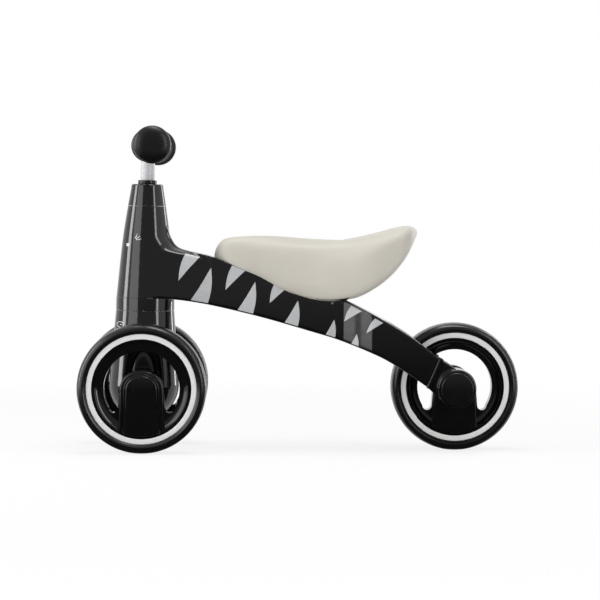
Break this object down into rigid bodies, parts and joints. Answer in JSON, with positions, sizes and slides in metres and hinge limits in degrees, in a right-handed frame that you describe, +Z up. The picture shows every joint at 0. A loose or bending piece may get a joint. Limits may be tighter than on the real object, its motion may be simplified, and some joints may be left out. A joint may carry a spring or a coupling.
{
  "type": "balance bike",
  "caption": "Toddler's ride-on balance bike: paired front wheels on a steered leg, one rear wheel between two arms, a padded seat and ribbed grips.",
  "frame": {"origin": "on the floor, under the middle of the bike", "axes": "+X towards the rear, +Y towards the rider's right, +Z up"},
  "size_m": [0.517, 0.23, 0.3783],
  "materials": {
    "gloss_black": "high gloss black moulded plastic",
    "satin_black": "satin black moulded plastic",
    "tyre": "smooth semi-gloss black tyre",
    "ring_white": "satin off-white ring",
    "tube_silver": "silver paint on steel tube",
    "grip": "satin black ribbed rubber",
    "seat_cream": "smooth cream soft cover over foam",
    "steel": "zinc-plated steel",
    "nylon": "natural nylon"
  },
  "bodies": {
    "frame": {"axle_bracket_left": "gloss_black", "axle_bracket_right": "gloss_black", "axle_cap_left": "satin_black", "axle_cap_right": "satin_black", "frame_screw_front": "steel", "frame_screw_middle": "steel", "frame_screw_rear": "steel", "frame_shell_left": "gloss_black", "frame_shell_right": "gloss_black", "head_bush_lower": "nylon", "head_bush_upper": "nylon", "head_collar": "gloss_black", "rear_axle": "steel", "rear_nut_left": "steel", "rear_nut_right": "steel", "rear_spacer_left": "nylon", "rear_spacer_right": "nylon", "seat_bolt_left": "steel", "seat_bolt_right": "steel", "seat_pad": "seat_cream", "seat_pan": "satin_black", "seat_pin": "steel", "steering_stop_ring": "gloss_black"},
    "steering": {"fork_shell_left": "gloss_black", "fork_shell_right": "gloss_black", "fork_screw_front": "steel", "fork_screw_rear": "steel", "steerer_tube": "steel", "stem_bush": "satin_black", "handlebar": "tube_silver", "stem_pin": "steel", "stop_pin": "steel", "grip_left": "grip", "grip_right": "grip", "front_axle": "steel", "front_spacer_left": "nylon", "front_spacer_right": "nylon", "front_nut_left": "steel", "front_nut_right": "steel"},
    "front_left_wheel": {"front_left_tyre": "tyre", "front_left_rim": "gloss_black", "front_left_ring_outer": "ring_white", "front_left_ring_inner": "ring_white", "front_left_bush_outer": "nylon", "front_left_bush_inner": "nylon", "front_left_spoke_cover": "gloss_black"},
    "front_right_wheel": {"front_right_tyre": "tyre", "front_right_rim": "gloss_black", "front_right_ring_outer": "ring_white", "front_right_ring_inner": "ring_white", "front_right_bush_outer": "nylon", "front_right_bush_inner": "nylon", "front_right_spoke_cover": "gloss_black"},
    "rear_wheel": {"rear_tyre": "tyre", "rear_rim": "gloss_black", "rear_ring_outer": "ring_white", "rear_ring_inner": "ring_white", "rear_bush_outer": "nylon", "rear_bush_inner": "nylon"}
  },
  "joints": [
    {"name": "steering", "type": "hinge", "parent": "frame", "child": "steering", "pos_m": [-0.1835, 0, 0.075], "axis": [0.014, 0, 0.9999], "range_deg": [-67.5, 67.5]},
    {"name": "front_left_wheel_spin", "type": "hinge", "parent": "steering", "child": "front_left_wheel", "pos_m": [-0.1835, -0.0649, 0.075], "axis": [0, 1, 0], "continuous": true},
    {"name": "front_right_wheel_spin", "type": "hinge", "parent": "steering", "child": "front_right_wheel", "pos_m": [-0.1835, 0.0649, 0.075], "axis": [0, 1, 0], "continuous": true},
    {"name": "rear_wheel_spin", "type": "hinge", "parent": "frame", "child": "rear_wheel", "pos_m": [0.1835, 0, 0.075], "axis": [0, 1, 0], "continuous": true}
  ]
}
